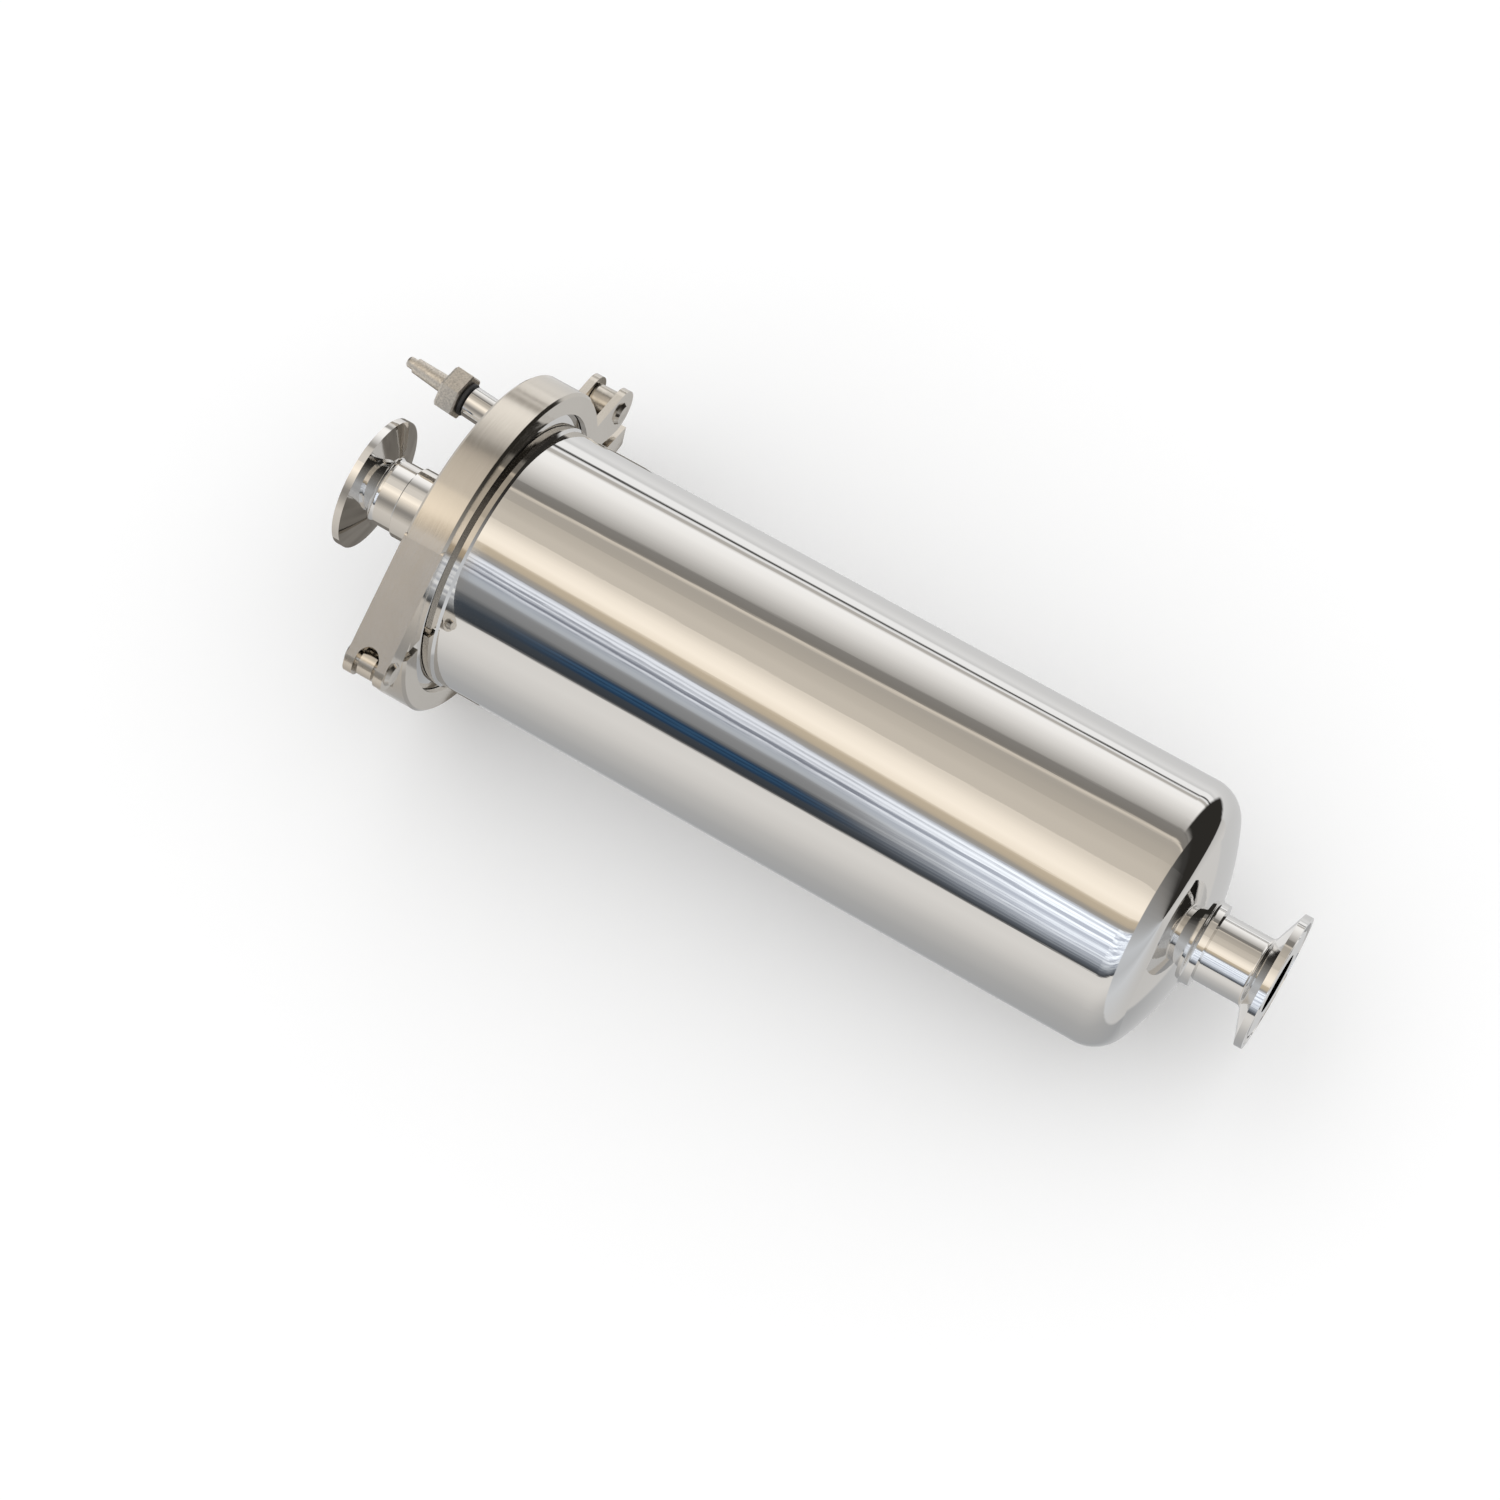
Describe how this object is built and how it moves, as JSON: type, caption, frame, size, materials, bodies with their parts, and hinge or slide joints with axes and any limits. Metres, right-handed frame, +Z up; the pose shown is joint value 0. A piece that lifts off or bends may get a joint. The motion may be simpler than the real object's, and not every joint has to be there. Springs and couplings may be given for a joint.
{
  "type": "sanitary inline filter",
  "caption": "Polished tube filter housing with a clamped cap, a ferrule nozzle at each end, a vent valve on the cap and one pleated cartridge inside.",
  "frame": {"origin": "centre of the inlet ferrule's face, on the housing's axis", "axes": "+X along the housing's axis from the inlet to the outlet, +Z up as the filter lies on its clamp and dished end, +Y to the clamp's closing bolt"},
  "size_m": [0.3759, 0.1604, 0.1273],
  "materials": {
    "polished_steel": "electropolished stainless steel, mirror bright",
    "brushed_steel": "satin investment-cast stainless steel",
    "black_rubber": "black EPDM rubber",
    "white_plastic": "moulded polypropylene, matt white",
    "filter_cloth": "pleated filter membrane and fleece, white"
  },
  "bodies": {
    "filter_body": {"housing_flange": "polished_steel", "housing_tube": "polished_steel", "dished_end": "polished_steel", "outlet_nozzle": "polished_steel", "cap": "polished_steel", "inlet_nozzle": "polished_steel", "vent_stub": "polished_steel", "body_gasket": "black_rubber", "clamp_lower": "brushed_steel", "bolt_lug": "brushed_steel", "cartridge_cage": "white_plastic", "pleated_filter": "filter_cloth", "cartridge_core": "white_plastic", "cartridge_top": "white_plastic", "cartridge_adapter": "white_plastic", "adapter_ring_front": "black_rubber", "adapter_ring_rear": "black_rubber", "cartridge_socket": "polished_steel"},
    "upper_clamp": {"clamp_upper": "brushed_steel", "hinge_pin": "brushed_steel", "bolt_pin": "brushed_steel"},
    "closing_bolt": {"eye_bolt": "brushed_steel"},
    "washer": {"nut_washer": "brushed_steel"},
    "wing_nut": {"wing_nut": "brushed_steel"},
    "vent_washer": {"vent_seal": "black_rubber"},
    "vent": {"vent_stem": "polished_steel"}
  },
  "joints": [
    {"name": "clamp_open", "type": "hinge", "parent": "filter_body", "child": "upper_clamp", "pos_m": [0.048, -0.06766, 0.0274], "axis": [1, 0, 0], "range_deg": [0, 4.5]},
    {"name": "bolt_swing", "type": "hinge", "parent": "upper_clamp", "child": "closing_bolt", "pos_m": [0.048, 0.07725, -0.02103], "axis": [1, 0, 0], "range_deg": [0, 100]},
    {"name": "washer_travel", "type": "slide", "parent": "closing_bolt", "child": "washer", "axis": [0, -0.3753, -0.9269], "range_m": [0, 0.0122]},
    {"name": "nut_spin", "type": "hinge", "parent": "washer", "child": "wing_nut", "pos_m": [0.048, 0.06821, -0.04337], "axis": [0, -0.3753, -0.9269], "continuous": true},
    {"name": "vent_lift", "type": "slide", "parent": "filter_body", "child": "vent_washer", "axis": [-0.9968, 0.0754, 0.0274], "range_m": [0, 0.0022]},
    {"name": "vent_turn", "type": "hinge", "parent": "vent_washer", "child": "vent", "pos_m": [0.01604, 0.0395, 0.01434], "axis": [-0.9968, 0.0754, 0.0274], "range_deg": [0, 540]}
  ],
  "couplings": [
    {"joint": "washer_travel", "follows": "clamp_open", "m_per_rad": 0.1525},
    {"joint": "vent_lift", "follows": "vent_turn", "m_per_rad": 0.000199}
  ]
}
